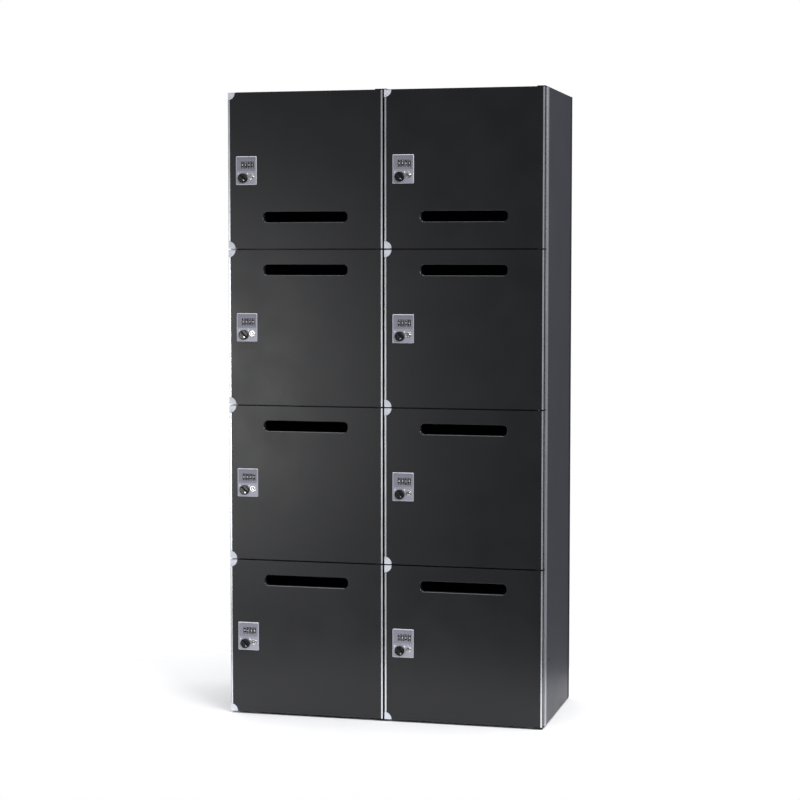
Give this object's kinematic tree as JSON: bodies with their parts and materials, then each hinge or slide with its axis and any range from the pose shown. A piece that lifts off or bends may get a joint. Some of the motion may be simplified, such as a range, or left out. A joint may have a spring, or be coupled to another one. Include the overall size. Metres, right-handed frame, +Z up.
{
  "type": "parcel locker",
  "caption": "Free-standing two-column parcel locker with full-overlay doors, letter slots, combination cam locks and aluminium door edges.",
  "frame": {"origin": "on the floor under the middle of the whole piece, knobs and back screw heads included", "axes": "+Z up; the doors face -Y; +X is to the right of a person who faces the doors"},
  "size_m": [0.928, 0.4578, 1.803],
  "materials": {
    "board": "black laminate, satin",
    "door_board": "black laminate, satin",
    "edge_aluminium": "silver anodised, satin",
    "lock_metal": "silver-grey lacquer",
    "dial_plastic": "black, moulded",
    "knob_plastic": "black, polished",
    "key_chrome": "polished",
    "bracket_steel": "zinc plated",
    "screw_steel": "black oxide",
    "foot_plastic": "black, moulded"
  },
  "bodies": {
    "cabinet": {"side_panel_left": "board", "side_panel_right": "board", "corner_posts": "board", "centre_partition": "board", "top_panel": "board", "bottom_panel": "board", "shelves": "board", "back_panel": "board", "back_panel_screws": "screw_steel", "levelling_feet": "foot_plastic", "pivot_brackets": "bracket_steel", "lock_keepers": "bracket_steel"},
    "left_1_door": {"door_left_1": "door_board", "door_left_1_edge_trim": "edge_aluminium", "lock_left_1_case": "lock_metal"},
    "left_1_dials": {"lock_left_1_dials": "dial_plastic"},
    "left_1_knob": {"lock_left_1_knob": "knob_plastic"},
    "left_1_key_plug": {"lock_left_1_key_plug": "key_chrome"},
    "left_2_door": {"door_left_2": "door_board", "door_left_2_edge_trim": "edge_aluminium", "lock_left_2_case": "lock_metal"},
    "left_2_dials": {"lock_left_2_dials": "dial_plastic"},
    "left_2_knob": {"lock_left_2_knob": "knob_plastic"},
    "left_2_key_plug": {"lock_left_2_key_plug": "key_chrome"},
    "left_3_door": {"door_left_3": "door_board", "door_left_3_edge_trim": "edge_aluminium", "lock_left_3_case": "lock_metal"},
    "left_3_dials": {"lock_left_3_dials": "dial_plastic"},
    "left_3_knob": {"lock_left_3_knob": "knob_plastic"},
    "left_3_key_plug": {"lock_left_3_key_plug": "key_chrome"},
    "left_4_door": {"door_left_4": "door_board", "door_left_4_edge_trim": "edge_aluminium", "lock_left_4_case": "lock_metal"},
    "left_4_dials": {"lock_left_4_dials": "dial_plastic"},
    "left_4_knob": {"lock_left_4_knob": "knob_plastic"},
    "left_4_key_plug": {"lock_left_4_key_plug": "key_chrome"},
    "right_1_door": {"door_right_1": "door_board", "door_right_1_edge_trim": "edge_aluminium", "lock_right_1_case": "lock_metal"},
    "right_1_dials": {"lock_right_1_dials": "dial_plastic"},
    "right_1_knob": {"lock_right_1_knob": "knob_plastic"},
    "right_1_key_plug": {"lock_right_1_key_plug": "key_chrome"},
    "right_2_door": {"door_right_2": "door_board", "door_right_2_edge_trim": "edge_aluminium", "lock_right_2_case": "lock_metal"},
    "right_2_dials": {"lock_right_2_dials": "dial_plastic"},
    "right_2_knob": {"lock_right_2_knob": "knob_plastic"},
    "right_2_key_plug": {"lock_right_2_key_plug": "key_chrome"},
    "right_3_door": {"door_right_3": "door_board", "door_right_3_edge_trim": "edge_aluminium", "lock_right_3_case": "lock_metal"},
    "right_3_dials": {"lock_right_3_dials": "dial_plastic"},
    "right_3_knob": {"lock_right_3_knob": "knob_plastic"},
    "right_3_key_plug": {"lock_right_3_key_plug": "key_chrome"},
    "right_4_door": {"door_right_4": "door_board", "door_right_4_edge_trim": "edge_aluminium", "lock_right_4_case": "lock_metal"},
    "right_4_dials": {"lock_right_4_dials": "dial_plastic"},
    "right_4_knob": {"lock_right_4_knob": "knob_plastic"},
    "right_4_key_plug": {"lock_right_4_key_plug": "key_chrome"}
  },
  "joints": [
    {"name": "left_1_door_hinge", "type": "hinge", "parent": "cabinet", "child": "left_1_door", "pos_m": [-0.017, -0.2036, 1.57725], "axis": [0, 0, 1], "range_deg": [0, 95]},
    {"name": "left_1_dial_spin", "type": "hinge", "parent": "left_1_door", "child": "left_1_dials", "pos_m": [-0.4029, -0.2011, 1.59325], "axis": [1, 0, 0], "continuous": true},
    {"name": "left_1_knob_turn", "type": "hinge", "parent": "left_1_door", "child": "left_1_knob", "pos_m": [-0.4158, -0.2166, 1.55575], "axis": [0, -1, 0], "range_deg": [0, 90]},
    {"name": "left_1_key_turn", "type": "hinge", "parent": "left_1_door", "child": "left_1_key_plug", "pos_m": [-0.3903, -0.2166, 1.55975], "axis": [0, -1, 0], "range_deg": [0, 90]},
    {"name": "left_2_door_hinge", "type": "hinge", "parent": "cabinet", "child": "left_2_door", "pos_m": [-0.017, -0.2036, 1.12775], "axis": [0, 0, 1], "range_deg": [0, 95]},
    {"name": "left_2_dial_spin", "type": "hinge", "parent": "left_2_door", "child": "left_2_dials", "pos_m": [-0.4029, -0.2011, 1.14375], "axis": [1, 0, 0], "continuous": true},
    {"name": "left_2_knob_turn", "type": "hinge", "parent": "left_2_door", "child": "left_2_knob", "pos_m": [-0.4158, -0.2166, 1.10625], "axis": [0, -1, 0], "range_deg": [0, 90]},
    {"name": "left_2_key_turn", "type": "hinge", "parent": "left_2_door", "child": "left_2_key_plug", "pos_m": [-0.3903, -0.2166, 1.11025], "axis": [0, -1, 0], "range_deg": [0, 90]},
    {"name": "left_3_door_hinge", "type": "hinge", "parent": "cabinet", "child": "left_3_door", "pos_m": [-0.017, -0.2036, 0.67825], "axis": [0, 0, 1], "range_deg": [0, 95]},
    {"name": "left_3_dial_spin", "type": "hinge", "parent": "left_3_door", "child": "left_3_dials", "pos_m": [-0.4029, -0.2011, 0.69425], "axis": [1, 0, 0], "continuous": true},
    {"name": "left_3_knob_turn", "type": "hinge", "parent": "left_3_door", "child": "left_3_knob", "pos_m": [-0.4158, -0.2166, 0.65675], "axis": [0, -1, 0], "range_deg": [0, 90]},
    {"name": "left_3_key_turn", "type": "hinge", "parent": "left_3_door", "child": "left_3_key_plug", "pos_m": [-0.3903, -0.2166, 0.66075], "axis": [0, -1, 0], "range_deg": [0, 90]},
    {"name": "left_4_door_hinge", "type": "hinge", "parent": "cabinet", "child": "left_4_door", "pos_m": [-0.017, -0.2036, 0.22875], "axis": [0, 0, 1], "range_deg": [0, 95]},
    {"name": "left_4_dial_spin", "type": "hinge", "parent": "left_4_door", "child": "left_4_dials", "pos_m": [-0.4029, -0.2011, 0.24475], "axis": [1, 0, 0], "continuous": true},
    {"name": "left_4_knob_turn", "type": "hinge", "parent": "left_4_door", "child": "left_4_knob", "pos_m": [-0.4158, -0.2166, 0.20725], "axis": [0, -1, 0], "range_deg": [0, 90]},
    {"name": "left_4_key_turn", "type": "hinge", "parent": "left_4_door", "child": "left_4_key_plug", "pos_m": [-0.3903, -0.2166, 0.21125], "axis": [0, -1, 0], "range_deg": [0, 90]},
    {"name": "right_1_door_hinge", "type": "hinge", "parent": "cabinet", "child": "right_1_door", "pos_m": [0.447, -0.2036, 1.57725], "axis": [0, 0, 1], "range_deg": [0, 95]},
    {"name": "right_1_dial_spin", "type": "hinge", "parent": "right_1_door", "child": "right_1_dials", "pos_m": [0.0611, -0.2011, 1.59325], "axis": [1, 0, 0], "continuous": true},
    {"name": "right_1_knob_turn", "type": "hinge", "parent": "right_1_door", "child": "right_1_knob", "pos_m": [0.0482, -0.2166, 1.55575], "axis": [0, -1, 0], "range_deg": [0, 90]},
    {"name": "right_1_key_turn", "type": "hinge", "parent": "right_1_door", "child": "right_1_key_plug", "pos_m": [0.0737, -0.2166, 1.55975], "axis": [0, -1, 0], "range_deg": [0, 90]},
    {"name": "right_2_door_hinge", "type": "hinge", "parent": "cabinet", "child": "right_2_door", "pos_m": [0.447, -0.2036, 1.12775], "axis": [0, 0, 1], "range_deg": [0, 95]},
    {"name": "right_2_dial_spin", "type": "hinge", "parent": "right_2_door", "child": "right_2_dials", "pos_m": [0.0611, -0.2011, 1.14375], "axis": [1, 0, 0], "continuous": true},
    {"name": "right_2_knob_turn", "type": "hinge", "parent": "right_2_door", "child": "right_2_knob", "pos_m": [0.0482, -0.2166, 1.10625], "axis": [0, -1, 0], "range_deg": [0, 90]},
    {"name": "right_2_key_turn", "type": "hinge", "parent": "right_2_door", "child": "right_2_key_plug", "pos_m": [0.0737, -0.2166, 1.11025], "axis": [0, -1, 0], "range_deg": [0, 90]},
    {"name": "right_3_door_hinge", "type": "hinge", "parent": "cabinet", "child": "right_3_door", "pos_m": [0.447, -0.2036, 0.67825], "axis": [0, 0, 1], "range_deg": [0, 95]},
    {"name": "right_3_dial_spin", "type": "hinge", "parent": "right_3_door", "child": "right_3_dials", "pos_m": [0.0611, -0.2011, 0.69425], "axis": [1, 0, 0], "continuous": true},
    {"name": "right_3_knob_turn", "type": "hinge", "parent": "right_3_door", "child": "right_3_knob", "pos_m": [0.0482, -0.2166, 0.65675], "axis": [0, -1, 0], "range_deg": [0, 90]},
    {"name": "right_3_key_turn", "type": "hinge", "parent": "right_3_door", "child": "right_3_key_plug", "pos_m": [0.0737, -0.2166, 0.66075], "axis": [0, -1, 0], "range_deg": [0, 90]},
    {"name": "right_4_door_hinge", "type": "hinge", "parent": "cabinet", "child": "right_4_door", "pos_m": [0.447, -0.2036, 0.22875], "axis": [0, 0, 1], "range_deg": [0, 95]},
    {"name": "right_4_dial_spin", "type": "hinge", "parent": "right_4_door", "child": "right_4_dials", "pos_m": [0.0611, -0.2011, 0.24475], "axis": [1, 0, 0], "continuous": true},
    {"name": "right_4_knob_turn", "type": "hinge", "parent": "right_4_door", "child": "right_4_knob", "pos_m": [0.0482, -0.2166, 0.20725], "axis": [0, -1, 0], "range_deg": [0, 90]},
    {"name": "right_4_key_turn", "type": "hinge", "parent": "right_4_door", "child": "right_4_key_plug", "pos_m": [0.0737, -0.2166, 0.21125], "axis": [0, -1, 0], "range_deg": [0, 90]}
  ]
}
